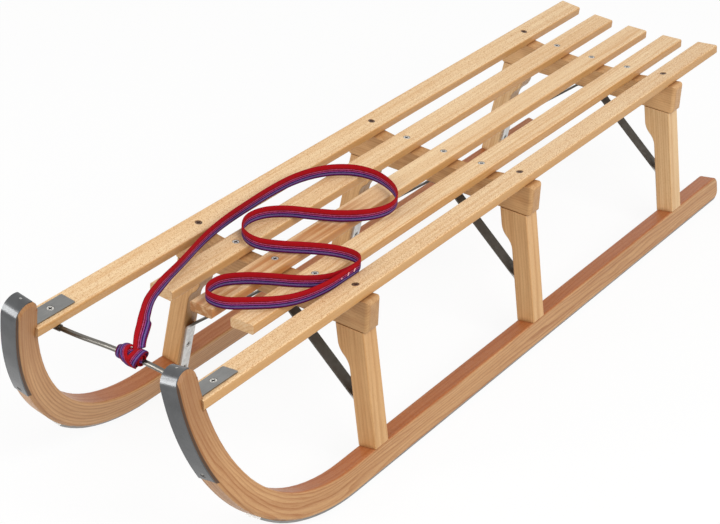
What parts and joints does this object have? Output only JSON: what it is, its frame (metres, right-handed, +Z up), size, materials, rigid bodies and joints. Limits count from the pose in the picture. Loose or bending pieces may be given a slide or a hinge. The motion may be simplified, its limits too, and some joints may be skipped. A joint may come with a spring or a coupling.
{
  "type": "wooden toboggan",
  "caption": "Slatted wooden toboggan on bent, steel-shod runners that curl up into horns, with splayed legs, flat steel braces, a front pull rod and a webbing pull strap.",
  "frame": {"origin": "on the ground, midway along the length and on the centre line", "axes": "+X towards the rider's left, the front with its horns towards -Y, +Z up"},
  "size_m": [0.332, 1.2, 0.2769],
  "materials": {
    "slat_wood": "clear-lacquered pale beech, fine flecks along the grain",
    "bent_wood": "clear-lacquered steam-bent beech, warmer than the slats",
    "frame_wood": "clear-lacquered planed beech",
    "shoe_steel": "plain steel strip, worn bright underneath",
    "cap_steel": "thin plated steel strip, satin",
    "brace_steel": "galvanised flat steel, dull grey",
    "rod_steel": "plated steel rod, satin",
    "dark_screw": "dark browned countersunk screws",
    "plated_screw": "zinc-plated countersunk screws",
    "webbing": "woven striped webbing in reds, violet and blue-grey"
  },
  "bodies": {
    "root": {"front_crossbeam": "frame_wood", "front_brace": "brace_steel", "left_front_leg": "frame_wood", "right_front_leg": "frame_wood", "front_slat_screws": "dark_screw", "front_brace_leg_screws": "plated_screw", "front_brace_top_screws": "plated_screw", "middle_crossbeam": "frame_wood", "middle_brace": "brace_steel", "left_middle_leg": "frame_wood", "right_middle_leg": "frame_wood", "middle_slat_screws": "dark_screw", "middle_brace_leg_screws": "plated_screw", "middle_brace_top_screws": "plated_screw", "rear_crossbeam": "frame_wood", "rear_brace": "brace_steel", "left_rear_leg": "frame_wood", "right_rear_leg": "frame_wood", "rear_slat_screws": "dark_screw", "rear_brace_leg_screws": "plated_screw", "rear_brace_top_screws": "plated_screw", "left_runner": "bent_wood", "left_runner_shoe": "shoe_steel", "left_horn_cap": "cap_steel", "left_inner_slat": "slat_wood", "left_outer_slat": "slat_wood", "left_slat_plate": "cap_steel", "left_rod_collar": "rod_steel", "right_runner": "bent_wood", "right_runner_shoe": "shoe_steel", "right_horn_cap": "cap_steel", "right_inner_slat": "slat_wood", "right_outer_slat": "slat_wood", "right_slat_plate": "cap_steel", "right_rod_collar": "rod_steel", "middle_slat": "slat_wood", "pull_rod": "rod_steel", "shoe_screws": "plated_screw", "cap_screws": "dark_screw", "horn_screws": "plated_screw", "plate_screws": "plated_screw", "cap_nails": "plated_screw", "strap_knot": "webbing", "pull_strap": "webbing"}
  },
  "joints": []
}
